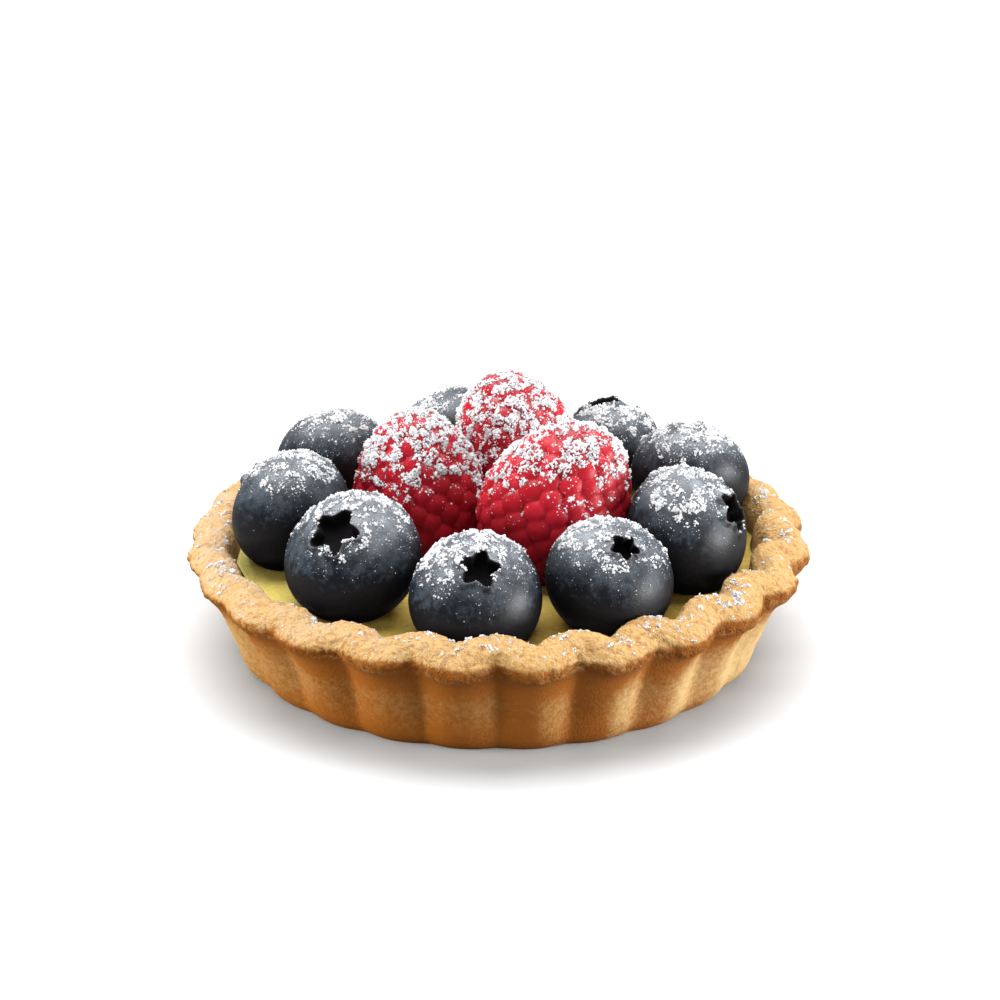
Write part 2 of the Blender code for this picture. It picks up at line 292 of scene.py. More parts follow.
turn = np.arange(SHELL_COLUMNS) / SHELL_COLUMNS * math.tau
section, along = smooth_line(section_places(turn), STEPS_BETWEEN)
outward = np.arange(1, FLOOR_RINGS + 1).reshape(-1, 1, 1) / (FLOOR_RINGS + 1)
outward = np.concatenate([outward, np.ones_like(outward)], axis=-1)
section = np.concatenate([section[:1] * outward, section, section[-1:] * outward[::-1]])
along = np.concatenate([np.zeros(FLOOR_RINGS), along, np.full(FLOOR_RINGS, along[-1])])
along = np.repeat(along[:, None], SHELL_COLUMNS, axis=1)
crust_rings = around(section[..., 0], turn, section[..., 1])
crust_normals = grid_normals(crust_rings)

# %% Puffs, crumbs and pits on the rim, a quieter wall
on_rim = smooth_step(3.6, 4.6, along) * (1.0 - smooth_step(8.4, 9.8, along))
on_wall = smooth_step(8.8, 10.2, along) * (1.0 - smooth_step(12.6, 13.0, along))
crumbly = smooth_step(-0.35, 0.30, lattice_noise(crust_rings, 7.0, 3))
crumbs = layered_noise(crust_rings, 1.1, 7)
billow = np.abs(lattice_noise(crust_rings, 1.7, 17))
small_billow = np.abs(lattice_noise(crust_rings, 0.80, 15))
lumpy = 0.15 + 0.85 * smooth_step(-0.5, 0.7, np.cos(turn + 0.45))
puffs = 0.28 * lattice_noise(crust_rings, 4.6, 5) + 0.18 * lattice_noise(crust_rings, 2.4, 6)
puffs = puffs * lumpy
lobes = (bulge_share(turn, 1) - 0.6) * smooth_step(5.0, 6.5, along)
lobes = lobes * (1.0 - smooth_step(8.6, 9.6, along))
rim_relief = puffs + 0.45 * lumpy * lobes + 0.15 * crumbs
rim_relief = rim_relief + (0.10 + 0.16 * crumbly) * (billow - 0.3) + 0.30 * (small_billow - 0.3)
wall_relief = 0.10 * lattice_noise(crust_rings, 5.5, 8) + 0.02 * layered_noise(crust_rings, 1.3, 9)
relief = on_rim * rim_relief + on_wall * wall_relief
crust_rings = crust_rings + crust_normals * relief[..., None]
crust_normals = grid_normals(crust_rings)
print("rim relief in mm, lowest and highest:", round(rim_relief.min(), 2), round(rim_relief.max(), 2))

# %% [markdown]
# ## How the case browns, and where shade is painted on it
# One number at each place says how far it got in browning, with painted shade in the same number. The
# turn under the rim is browned most, and darkened there as painted shade under the lip too. The front
# and the foot of the wall are darker as painted shade, and so, at the right, is the left side of each
# flute, while the right side of the flutes past the middle is paler, a painted light. On top, the pits
# are darker as painted shade and a few patches are browner.

# %% How far each place of the case is browned, with painted shade and painted light
# The turn under the rim: browning, and painted shade under the lip.
toast_and_shade = 0.95 * smooth_step(7.5, 8.1, along) * (1.0 - smooth_step(9.2, 11.0, along))
toast_and_shade = toast_and_shade * (0.85 + 0.28 * lattice_noise(crust_rings, 2.6, 12))
# The front of the wall, and its foot still more, are darkened as painted shade.
front = smooth_step(0.10, 1.0, np.cos(turn + math.pi / 2 + 0.15))
toast_and_shade = toast_and_shade + on_wall * (0.03 + 0.66 * front + 0.10 * lattice_noise(crust_rings, 9.0, 13))
toast_and_shade = toast_and_shade + on_wall * (0.12 + 0.38 * front) * smooth_step(10.6, 12.6, along)
# At the right the wall under the rim is browner and in painted shade, the left side of each flute is
# painted shade, and the right side of the flutes near the front is made paler as painted light.
right = smooth_step(-0.1, 0.7, np.cos(turn + 0.5))
under_rim = 1.0 - smooth_step(9.2, 11.6, along)
side = np.sin(FLUTES * (turn + math.pi / 2))
turned_left, turned_right = smooth_step(-0.2, 0.9, side), smooth_step(-0.1, 0.9, -side)
paler = front * turned_right * smooth_step(0.35, 0.80, np.cos(turn + 0.5))
toast_and_shade = toast_and_shade + on_wall * (right * (0.24 * under_rim + 0.15 * turned_left) - 0.30 * paler)
# The pits of the rim are darkened as painted shade; the patches are browning.
pits = 1.0 - smooth_step(0.0, 0.22, small_billow * (0.5 + billow))
patches = smooth_step(0.0, 0.8, layered_noise(crust_rings, 2.2, 14))
toast_and_shade = toast_and_shade + on_rim * (0.32 * pits + 0.30 * patches)
# The inside of the case is darker, partly browning and partly painted shade.
toast_and_shade = toast_and_shade + 0.5 * (1.0 - smooth_step(3.2, 4.4, along))
toast_and_shade = np.clip(toast_and_shade, 0.0, 1.0)
# The right side of the wall is made paler and yellower, a painted light.
lit_side_pale = on_wall * smooth_step(0.2, 1.0, np.cos(turn + 0.3))
print("mean browning of the wall, from 0 to 1:", round(toast_and_shade[on_wall > 0.9].mean(), 2))

# %% A veil of sugar on the rim, most at the left
sugared = on_rim * (1.0 - smooth_step(7.2, 8.0, along))
veil = sugared * (0.02 + 0.17 * smooth_step(-0.2, 0.9, np.cos(turn - math.pi)))
veil = veil * (0.7 + 0.6 * lattice_noise(crust_rings, 2.0, 16))
veil = np.clip(veil * smooth_step(0.3, 0.9, crust_normals[..., 2]), 0.0, 1.0)

# %% [markdown]
# ## The shape of a blueberry
# A blueberry is a ball flattened from crown to stem, with a five-pointed star sunk into its
# crown where the flower was. The grid runs from the star to the stem: flat rings for the star's
# floor, steep ones for its wall, a thin raised lip of dried sepals, then the shoulder. As every
# ring follows the star, its edge stays crisp with few points.

# %% Where the blueberries sit
BLUEBERRIES = (  # centre, direction of the crown, radius, height over width, turn of the star, its size
    ((-17.78, -17.30, 18.80), (-0.34, -0.535, 0.777), 8.72, 0.75, 3, 0.38),
    ((-2.59, -25.37, 17.01), (0.07, -0.58, 0.81), 8.22, 0.87, 5, 0.32),
    ((13.82, -21.81, 17.86), (0.245, -0.479, 0.843), 8.00, 0.85, 4, 0.24),
    ((24.02, -9.28, 18.99), (0.79, -0.34, 0.51), 8.32, 0.86, 2, 0.32),
    ((25.45, 8.64, 19.48), (0.21, 0.645, 0.73), 7.77, 0.85, 7, 0.27),
    ((15.28, 22.75, 17.95), (-0.2, 0.145, 0.96), 6.98, 0.88, 3, 0.40),
    ((-6.13, 26.10, 18.34), (-0.3, 0.5, 0.8), 7.31, 0.86, 6, 0.29),
    ((-21.80, 14.45, 18.83), (-0.35, 0.767, 0.54), 7.92, 0.84, 1, 0.30),
    ((-26.42, -2.65, 18.78), (-0.72, 0.50, 0.47), 8.11, 0.87, 4, 0.30),
)
SEPALS = (0.035, 0.030, 0.035, 0.070, 0.075, 0.090, 0.040, 0.040, 0.090)  # how far they stand up
STAR_POINTS = 5
STAR_STEP = math.tau / 20
BERRY_COLUMNS = 160
FLOOR_STEPS, WALL_STEPS, LIP_STEPS, SHOULDER_STEPS = 9, 8, 10, 74
FLOOR_WIDTH, FLOOR_HEIGHT, WALL_FOOT, LIP_ANGLE = 0.86, 0.68, 0.72, 0.13


def berry_frame(axis):
    """The turn that takes +Z onto the axis of a berry, as a matrix with the axis last."""
    up = Vector(axis).normalized()
    across = Vector((0.13, 1.0, 0.2)).cross(up).normalized()
    return np.array((across, up.cross(across), up)).T


# %% The surface of a blueberry
def blueberry_rings(index):
    """Rings of one blueberry in mm and two masks: 1 in the star, and 1 on its dried lip."""
    centre, axis, radius, squash, spin, star = BLUEBERRIES[index]
    chance = random.Random(100 + index)
    phase = [chance.uniform(0.0, math.tau) for _ in range(2)]
    azimuth = np.arange(BERRY_COLUMNS) / BERRY_COLUMNS * math.tau
    ring_line = around(1.0, azimuth, 0.0)
    ragged = layered_noise(ring_line * 3.0 + index * 9.0, 0.9, 21 + index)
    lobes = 0.5 + 0.5 * np.cos(STAR_POINTS * (azimuth - spin * STAR_STEP))
    edge = star * (0.69 + 0.33 * lobes)
    edge = edge * (1.0 + 0.09 * ragged)
    top = np.sqrt(1.0 - edge**2)
    lip = SEPALS[index] * (0.5 + 0.8 * smooth_step(-0.5, 0.8, ragged))
    floor = np.arange(1, FLOOR_STEPS + 1)[:, None] / FLOOR_STEPS
    wall = np.arange(1, WALL_STEPS + 1)[:, None] / WALL_STEPS
    fold = np.arange(1, LIP_STEPS + 1)[:, None] / LIP_STEPS
    side = np.arange(1, SHOULDER_STEPS)[:, None] / SHOULDER_STEPS
    floor_flat = edge * FLOOR_WIDTH * floor
    floor_high = FLOOR_HEIGHT + (WALL_FOOT - FLOOR_HEIGHT) * floor**2 + 0.0 * edge
    wall_flat = edge * (FLOOR_WIDTH + (1.0 - FLOOR_WIDTH) * wall**2)
    wall_high = WALL_FOOT + (top + lip - WALL_FOOT) * wall
    fold_polar = np.arcsin(edge) + LIP_ANGLE * fold
    fold_flat = np.sin(fold_polar)
    fold_high = np.cos(fold_polar) + lip * (1.0 - smooth_step(0.0, 1.0, fold))
    from_polar = np.arcsin(edge) + LIP_ANGLE
    side_polar = from_polar + (math.pi - from_polar) * side
    flat = np.concatenate([floor_flat, wall_flat, fold_flat, np.sin(side_polar)])
    high = np.concatenate([floor_high, wall_high, fold_high, np.cos(side_polar)])
    uneven = 1.0 + 0.012 * np.cos(2 * azimuth + phase[0]) + 0.008 * np.cos(3 * azimuth + phase[1])
    flat = flat * uneven
    place = around(flat, azimuth, high * squash)
    skin = smooth_step(0.0, 0.2, np.concatenate([floor * 0, wall * 0, fold, side * 0 + 1.0]))
    dents = 0.010 * lattice_noise(place * 8.0 + 7.0 * index, 5.0, 41) * skin
    place = place * (1.0 + dents[..., None]) * radius
    near_edge, past_edge = smooth_step(0.7, 1.0, wall), 1.0 - smooth_step(0.0, 0.3, fold)
    dark_wall = 1.0 - 0.6 * smooth_step(0.8, 1.0, wall)
    inside = np.concatenate([floor * 0 + 1.0, dark_wall, fold * 0, side * 0])
    dried = np.concatenate([floor * 0, near_edge, past_edge, side * 0])
    ones = np.ones(BERRY_COLUMNS)
    return place @ berry_frame(axis).T + centre, inside * ones, dried * ones


blueberry_shapes = [blueberry_rings(index) for index in range(len(BLUEBERRIES))]
print("blueberries:", len(blueberry_shapes), "of", blueberry_shapes[0][0].shape[:2], "points")

# %% [markdown]
# ## The shape of a raspberry
# A raspberry is a cluster of small juicy beads over a tapered dome. The middles of the beads are
# spread in a spiral of golden-angle steps, each pushed a little off its place. For each point of
# the dome, the distances to the nearest and second nearest middle say how close it is to a seam,
# and a quarter circle of that share gives a round bead with a sharp valley between.

# %% Where the raspberries sit
RASPBERRIES = (  # centre, direction of the tip, radius, height over width
    ((-10.11, 1.45, 20.14), (-0.05, -0.05, 1.0), 8.59, 1.28),
    ((2.58, 13.27, 21.28), (-0.25, 0.12, 0.95), 8.56, 1.24),
    ((7.69, -5.78, 21.34), (0.5, -0.08, 0.86), 9.34, 1.22),
)
BEADS = 180
BEAD_PUSH = 0.035
TIP_TAPER = 0.13
BEAD_PEAK, BEAD_DEPTH, BEAD_REACH = 1.008, 0.125, 0.215
RASPBERRY_COLUMNS, RASPBERRY_ROWS = 340, 170
BERRY_REST = 11.3


# %% The surface of a raspberry
def spiral_directions(count, tall, seed):
    """Directions spread over a tall ball: the spiral climbs by equal shares of its area, which is
    the running sum of the square root of tall squared times (1 - z squared) plus z squared."""
    chance = np.random.default_rng(seed)
    step = np.arange(count)
    level = np.linspace(-1.0, 1.0, 400)
    area = np.cumsum(np.sqrt(tall**2 * (1.0 - level**2) + level**2))
    z = np.interp((step + 0.5) / count, area / area[-1], -level)
    flat = np.sqrt(1.0 - z * z)
    turned = math.pi * (1.0 + math.sqrt(5.0)) * step
    place = around(flat, turned, z)
    place = place + chance.uniform(-BEAD_PUSH, BEAD_PUSH, place.shape)
    return place / np.linalg.norm(place, axis=-1, keepdims=True)


def on_dome(direction, tall):
    """The smooth dome under the beads: a tall ball of width 1 that narrows towards its tip."""
    flat = 1.0 - TIP_TAPER * direction[..., 2:]
    return np.concatenate([direction[..., :2] * flat, direction[..., 2:] * tall], axis=-1)


def raspberry_rings(index):
    """Rings of one raspberry in mm, with how deep each place is in a seam and a number for its bead."""
    centre, axis, radius, tall = RASPBERRIES[index]
    azimuth = np.arange(RASPBERRY_COLUMNS) / RASPBERRY_COLUMNS * math.tau
    polar = (np.arange(1, RASPBERRY_ROWS) / RASPBERRY_ROWS * math.pi)[:, None]
    direction = around(np.sin(polar), azimuth, np.cos(polar))
    dome = on_dome(direction, tall)
    beads = on_dome(spiral_directions(BEADS, tall, 7 + index), tall)
    gap = np.sqrt(np.maximum((dome**2).sum(-1)[..., None] + (beads**2).sum(-1) - 2 * dome @ beads.T, 0))
    size = np.random.default_rng(70 + index).uniform(0.0, 1.0, BEADS)
    gap = gap / (0.92 + 0.16 * size)
    order = np.argpartition(gap, 1, axis=-1)[..., :2]
    nearest, second = np.moveaxis(np.take_along_axis(gap, order, axis=-1), -1, 0)
    cap = np.sqrt(1.0 - np.clip(nearest / BEAD_REACH, 0.0, 0.985) ** 2)
    seam = 1.0 - smooth_step(0.0, 0.060, second - nearest)
    share = BEAD_PEAK - BEAD_DEPTH * (1.0 - cap)
    place = dome * (radius * share)[..., None]
    place = place @ berry_frame(axis).T + centre
    place[..., 2] = np.maximum(place[..., 2], BERRY_REST)
    return place, seam * (1.0 - cap), size[order[..., 0]]


raspberry_shapes = [raspberry_rings(index) for index in range(len(RASPBERRIES))]
print("raspberries:", len(raspberry_shapes), "of", raspberry_shapes[0][0].shape[:2], "points")

# %% [markdown]
# ## The shape of the custard
# Set custard fills the case to just under the rim, level but for a faint ripple, and each berry
# was pressed into it. On a polar grid its height is the level, or the underside of the nearest
# berry where that is lower, and it creeps up a little wherever it wets a berry or the pastry.

# %% The surface of the custard
CUSTARD_TOP, CUSTARD_FOOT, CUSTARD_BASE = 12.2, 4.73, 3.53
CUSTARD_GAP, RIM_GAP, BERRY_GAP = 0.33, 0.3, 0.02
CUSTARD_COLUMNS, CUSTARD_TOP_RINGS, CUSTARD_WALL_RINGS = 360, 78, 6


def under_berries(flat, level):
    """The height of the lowest berry skin over each place, and how near the berry's edge is:
    the lower root of the ball's equation, where the place is under the ball at all."""
    lowest, wet = np.full(flat.shape[:-1], 99.0), np.zeros(flat.shape[:-1])
    balls = [(c, r * (1 + s) / 2) for c, _, r, s, _, _ in BLUEBERRIES]
    balls += [(c, r) for c, _, r, _ in RASPBERRIES]
    for centre, radius in balls:
        apart = np.linalg.norm(flat - np.array(centre[:2]), axis=-1)
        root = np.sqrt(np.maximum(radius**2 - apart**2, 0.0))
        lowest = np.where(apart < radius, np.minimum(lowest, centre[2] - root), lowest)
        meets = math.sqrt(max(radius**2 - (centre[2] - level) ** 2, 0.0))
        wet = np.maximum(wet, np.exp(-(((apart - meets) / 0.7) ** 2)))
    return lowest, wet


angle = np.arange(CUSTARD_COLUMNS) / CUSTARD_COLUMNS * math.tau
places = section_places(angle)
edge = places[3, :, 0] - RIM_GAP
share = (np.arange(1, CUSTARD_TOP_RINGS + 1) / CUSTARD_TOP_RINGS)[:, None] ** 0.8
ripple_at = around(edge * share, angle, 0.0)
flat = ripple_at[..., :2]
lowest, wet = under_berries(flat, CUSTARD_TOP)
ripple = 0.22 * lattice_noise(ripple_at, 6.5, 31) + 0.06 * lattice_noise(ripple_at, 2.2, 32)
level = CUSTARD_TOP + ripple + 0.25 * wet + 0.30 * smooth_step(0.97, 1.0, share)
custard_top = np.concatenate([flat, np.minimum(level, lowest - BERRY_GAP)[..., None]], axis=-1)
down = (np.arange(1, CUSTARD_WALL_RINGS + 1) / CUSTARD_WALL_RINGS)[:, None]
wall_radius = edge + (places[1, :, 0] - CUSTARD_GAP - edge) * down
wall_height = custard_top[-1, :, 2] + (CUSTARD_FOOT - custard_top[-1, :, 2]) * down
custard_wall = around(wall_radius, angle, wall_height)
base = custard_wall[-1:] * [0.92, 0.92, 0.0] + [0.0, 0.0, CUSTARD_BASE]
custard_rings = np.concatenate([custard_top, custard_wall, base, base * [0.5, 0.5, 1.0]])
print("custard height in mm, lowest and highest:", custard_top[..., 2].min(), custard_top[..., 2].max())

# %% [markdown]
# ## Where sieved sugar lands
# Icing sugar falls straight down, so it lands where a place faces up and nothing is above it.
# One grid over the tart keeps the highest point in each square, and a place near that height is
# open to the sky. Noise decides where a clump is. The same numbers drive the loose grains, which
# are real geometry, and the thin haze, which is colour.

# %% The open sky over the tart
SKY_SQUARE = 0.5
SKY_HALF = 45.0
all_rings = [crust_rings] + [shape[0] for shape in blueberry_shapes + raspberry_shapes]
sky_count = int(2 * SKY_HALF / SKY_SQUARE)
sky = np.zeros((sky_count, sky_count))


def sky_index(points):
    """The square of the sky grid over each point."""
    index = ((points[..., :2] + SKY_HALF) / SKY_SQUARE).astype(int)
    return tuple(np.moveaxis(np.clip(index, 0, sky_count - 1), -1, 0))


for rings in all_rings:
    np.maximum.at(sky, sky_index(rings), rings[..., 2])


def open_to_sky(points):
    """1 up to 0.7 mm below the highest thing over a point, falling to 0 at 1.8 mm below it."""
    return 1.0 - smooth_step(0.7, 1.8, sky[sky_index(points)] - points[..., 2])


# %% How much sugar settles
def settled(points, normals, lean, seed):
    """Sugar from 0 to 1: facing up, open sky and clumps. Lean lets it cling to steeper places."""
    upness = normals[..., 2] / np.linalg.norm(normals, axis=-1)
    facing = smooth_step(-0.10 - lean, 0.95, upness)
    clump = layered_noise(points, 1.25, seed, 4)
    patch = lattice_noise(points, 3.4, seed + 5)
    return facing * open_to_sky(points), clump + patch * 0.30


crust_open, crust_clump = settled(crust_rings, crust_normals, 0.0, 51)
crust_dust = crust_open * sugared * smooth_step(0.25, 0.7, crust_clump)

# %% [markdown]
# ## Sugar as a node group
# The haze of sugar lies on pastry and fruit alike, so it is one node group, placed in each
# material. It takes how much sugar has settled at a place, breaks that up with fine noise, and
# gives a mask for the colour and a height for the bump. Baked grain is a second group.


# %% Small helpers for nodes
def set_sockets(tree, node, inputs):
    """Sets each socket of a node to a value, or joins it to the socket that is given."""
    for key, value in inputs.items():
        if isinstance(value, bpy.types.NodeSocket):
            tree.links.new(value, node.inputs[key])
        else:
            node.inputs[key].default_value = value


def add_node(tree, kind, inputs=None, **settings):
    """A node with its settings made and its sockets set or joined."""
    node = tree.nodes.new(kind)
    for key, value in settings.items():
        setattr(node, key, value)
    set_sockets(tree, node, inputs or {})
    return node


def math_of(tree, operation, a, b):
    """One step of arithmetic on two numbers or sockets."""
    return add_node(tree, "ShaderNodeMath", {0: a, 1: b}, operation=operation).outputs[0]


def sum_of(tree, *parts):
    """The sum of sockets, each times its own number or socket."""
    scaled = [math_of(tree, "MULTIPLY", value, share) for value, share in parts]
    total = scaled[0]
    for value in scaled[1:]:
        total = math_of(tree, "ADD", total, value)
    return total


def range_of(tree, value, low, high, to_low=0.0, to_high=1.0):
    """The value taken from one range to another, smoothly and without leaving it."""
    inputs = {"Value": value, "From Min": low, "From Max": high, "To Min": to_low, "To Max": to_high}
    return add_node(tree, "ShaderNodeMapRange", inputs, interpolation_type="SMOOTHSTEP").outputs[0]


def noise_of(tree, size_mm, detail):
    """Noise on the piece's own coordinates, whose lumps are about this many millimetres."""
    place = add_node(tree, "ShaderNodeTexCoord").outputs["Object"]
    inputs = {"Vector": place, "Scale": 1000.0 / size_mm, "Detail": detail, "Roughness": 0.6}
    return add_node(tree, "ShaderNodeTexNoise", inputs).outputs["Fac"]


def mixed(tree, share, a, b):
    """Two colours mixed by a share."""
    return add_node(tree, "ShaderNodeMix", {0: share, 6: a, 7: b}, data_type="RGBA").outputs[2]


def for_bounces(tree, colour, quiet):
    """The colour where it is seen at first hand, but a quieter one for light on its way to other
    things, so that pieces that almost touch don't glow with each other's colour."""
    seen = add_node(tree, "ShaderNodeLightPath").outputs["Is Camera Ray"]
    return mixed(tree, seen, quiet, colour)


def value_of(tree, name):
    """A number kept on the points of the mesh."""
    return add_node(tree, "ShaderNodeAttribute", attribute_name=name).outputs["Fac"]


# %% The groups of sugar haze and of baked grain
def new_group(name, inputs, outputs):
    """An empty node group with named number sockets."""
    group = bpy.data.node_groups.new(name, "ShaderNodeTree")
    for socket, value in inputs:
        made = group.interface.new_socket(socket, in_out="INPUT", socket_type="NodeSocketFloat")
        made.default_value = value
    for socket in outputs:
        group.interface.new_socket(socket, in_out="OUTPUT", socket_type="NodeSocketFloat")
    return group, group.nodes.new("NodeGroupInput").outputs, group.nodes.new("NodeGroupOutput")


haze_inputs = [("Settled", 0.0), ("Reach", 0.5), ("Film", 0.1)]
haze, given, result = new_group("sugar haze", haze_inputs, ["Mask", "Height"])
fine = noise_of(haze, 0.24, 4.0)
broad = noise_of(haze, 1.2, 3.0)
broken = sum_of(haze, (fine, 1.0), (broad, 0.7))
threshold = math_of(haze, "SUBTRACT", 1.30, math_of(haze, "MULTIPLY", given["Settled"], given["Reach"]))
specks = range_of(haze, math_of(haze, "SUBTRACT", broken, threshold), -0.02, 0.14)
film = math_of(haze, "MULTIPLY", math_of(haze, "POWER", given["Settled"], 4.0), given["Film"])
thinner = range_of(haze, sum_of(haze, (broad, 1.0), (fine, 1.0)), 0.75, 1.25, 0.55, 1.0)
film = math_of(haze, "MULTIPLY", film, thinner)
mask = math_of(haze, "MAXIMUM", specks, film)
haze.links.new(mask, result.inputs["Mask"])
haze.links.new(math_of(haze, "MULTIPLY", specks, 0.6), result.inputs["Height"])

grain, given, result = new_group("fine grain", [("Size", 1.0)], ["Height", "Speck"])
coords = add_node(grain, "ShaderNodeTexCoord").outputs["Object"]
scale = math_of(grain, "DIVIDE", 1000.0, given["Size"])
small_inputs = {"Vector": coords, "Scale": scale, "Detail": 5.0, "Roughness": 0.65}
small = add_node(grain, "ShaderNodeTexNoise", small_inputs).outputs["Fac"]
cells = add_node(grain, "ShaderNodeTexVoronoi", {"Vector": coords, "Scale": scale})
summed = sum_of(grain, (small, 1.0), (cells.outputs["Distance"], -0.4))
grain.links.new(summed, result.inputs["Height"])
grain.links.new(range_of(grain, small, 0.60, 0.72), result.inputs["Speck"])
print("groups:", haze.name, "and", grain.name)


def place_group(tree, group, **inputs):
    """One use of a node group, with its own values."""
    return add_node(tree, "ShaderNodeGroup", inputs, node_tree=group).outputs


def new_material(name):
    """A material, its node tree and its shader."""
    material = bpy.data.materials.new(name)
    material.use_nodes = True
    tree = material.node_tree
    return material, tree, tree.nodes["Principled BSDF"]


def bump(tree, shader, height, depth_mm):
    """A bump of this depth on the shader's normal."""
    inputs = {"Height": height, "Strength": 1.0, "Distance": depth_mm * MM}
    tree.links.new(add_node(tree, "ShaderNodeBump", inputs).outputs[0], shader.inputs["Normal"])


SUGAR_WHITE = (0.68, 0.69, 0.71, 1.0)

# %% [markdown]
# ## Shortcrust
# Baked shortcrust is dry and matt. Its top is a light sandy tan, the turn under the rim is a
# deeper brown, and the wall is golden, with darker specks of browned butter and paler flour. The
# browning comes from the mesh, together with painted shade at the front, the foot, the flutes and
# under the lip, and a painted light that makes the right side of the wall paler. Noise mixes the rest.

# %% The finish of the pastry
crust_finish, tree, shader = new_material("baked shortcrust")
tan = (0.72, 0.44, 0.165, 1.0)
gold = (0.74, 0.46, 0.160, 1.0)
pale = (0.70, 0.47, 0.25, 1.0)
biscuit = (0.50, 0.205, 0.045, 1.0)
lit_pale = (0.90, 0.67, 0.32, 1.0)
brown_and_shade = (0.38, 0.118, 0.014, 1.0)
butter = (0.33, 0.13, 0.035, 1.0)
quiet_pastry = (0.32, 0.24, 0.17, 1.0)
rim = value_of(tree, "on_rim")
body = mixed(tree, rim, gold, tan)
body = mixed(tree, range_of(tree, noise_of(tree, 0.8, 5.0), 0.46, 0.70, 0.0, 0.45), body, pale)
sandy = range_of(tree, noise_of(tree, 0.60, 5.0), 0.52, 0.64, 0.0, 0.66)
body = mixed(tree, math_of(tree, "MULTIPLY", sandy, rim), body, biscuit)
# The paler right side of the wall is a painted light.
body = mixed(tree, range_of(tree, value_of(tree, "lit_side_pale"), 0.0, 1.0, 0.0, 0.60), body, lit_pale)
uneven = range_of(tree, noise_of(tree, 0.7, 6.0), 0.30, 0.75, -0.12, 0.16)
# Browning and painted shade together draw the colour towards brown.
browning_and_shade = math_of(tree, "ADD", value_of(tree, "toast_and_shade"), uneven)
body = mixed(tree, range_of(tree, browning_and_shade, 0.0, 1.0), body, brown_and_shade)

# %% Its grain, its sugar and its bump
grain_out = place_group(tree, grain, Size=0.30)
coarse_out = place_group(tree, grain, Size=0.62)
haze_out = place_group(tree, haze, Settled=value_of(tree, "dust"), Reach=0.6, Film=0.3)
body = mixed(tree, range_of(tree, grain_out["Speck"], 0.0, 1.0, 0.0, 0.30), body, butter)
white = math_of(tree, "MAXIMUM", haze_out["Mask"], value_of(tree, "veil"))
body = mixed(tree, white, body, SUGAR_WHITE)
sockets = {
    "Base Color": for_bounces(tree, body, quiet_pastry),
    "Roughness": range_of(tree, grain_out["Height"], 0.2, 0.7, 0.7, 0.9),
    "Specular IOR Level": 0.25,
}
set_sockets(tree, shader, sockets)
fine_share = range_of(tree, rim, 0.0, 1.0, 0.45, 1.5)
coarse_share = math_of(tree, "MULTIPLY", rim, 2.2)
heights = (grain_out["Height"], fine_share), (coarse_out["Height"], coarse_share), (haze_out["Height"], 1.0)
bump(tree, shader, sum_of(tree, *heights), 0.20)

# %% The pastry case itself
crust_values = {"on_rim": on_rim, "toast_and_shade": toast_and_shade, "veil": veil, "lit_side_pale": lit_side_pale, "dust": crust_dust}
crust_mesh = closed_mesh("crust_case", crust_rings, crust_values)
add_piece("crust_case", crust_mesh, crust_finish, "shortcrust", "crust")

# %% [markdown]
# ## Custard
# Egg custard is opaque but soft: light goes a little way in and comes out yellow, and its skin
# has a moist, blurred shine. Subsurface scattering gives the first, a low roughness the second.

# %% The finish of the custard
custard_finish, tree, shader = new_material("egg custard")
yolk = (1.0, 0.77, 0.21, 1.0)
deep_yolk = (0.96, 0.71, 0.16, 1.0)
wet_and_shade_yolk = (0.34, 0.20, 0.030, 1.0)
quiet_yolk = (0.09, 0.07, 0.04, 1.0)
body = mixed(tree, range_of(tree, noise_of(tree, 5.0, 3.0), 0.35, 0.7), yolk, deep_yolk)
# Darker near the berries, as wet custard and painted shade together, and on the front-right side, as
# painted shade.
body = mixed(tree, value_of(tree, "moist_and_shade"), body, wet_and_shade_yolk)
sockets = {
    "Base Color": for_bounces(tree, body, quiet_yolk),
    "Roughness": range_of(tree, noise_of(tree, 1.6, 3.0), 0.3, 0.7, 0.20, 0.34),
    "Subsurface Weight": 0.5,
    "Subsurface Radius": (1.0, 0.6, 0.2),
    "Subsurface Scale": 0.003,
}
set_sockets(tree, shader, sockets)
bump(tree, shader, place_group(tree, grain, Size=2.2)["Height"], 0.05)

# %% Where the custard is darkened, as wet custard and painted shade, and the custard itself
# The front-right side: painted shade; near the berries: wet custard with painted shade.
shaded_side = smooth_step(-0.3, 0.9, np.cos(angle + 0.9)) * smooth_step(0.3, 0.8, share)
moist_and_shade = np.minimum(0.55 * wet + 0.78 * shaded_side, 1.0)
moist_and_shade = np.concatenate([moist_and_shade, np.zeros((len(custard_rings) - len(moist_and_shade), CUSTARD_COLUMNS))])
custard_last = (0.0, 0.0, CUSTARD_BASE)
custard_mesh = closed_mesh("custard_filling", custard_rings, {"moist_and_shade": moist_and_shade}, custard_last)
add_piece("custard_filling", custard_mesh, custard_finish, "custard", "custard")

# %% [markdown]
# ## Blueberry skin
# The skin is almost black, and what looks blue is bloom, a film of wax that scatters light. It is
# rubbed off in patches and streaks, so two scales of noise mix bare skin and bloom, and the bloom
# is the rougher of the two. The underside is darkened to near black as painted shade. The star is
# darker still, with a dry brown edge.

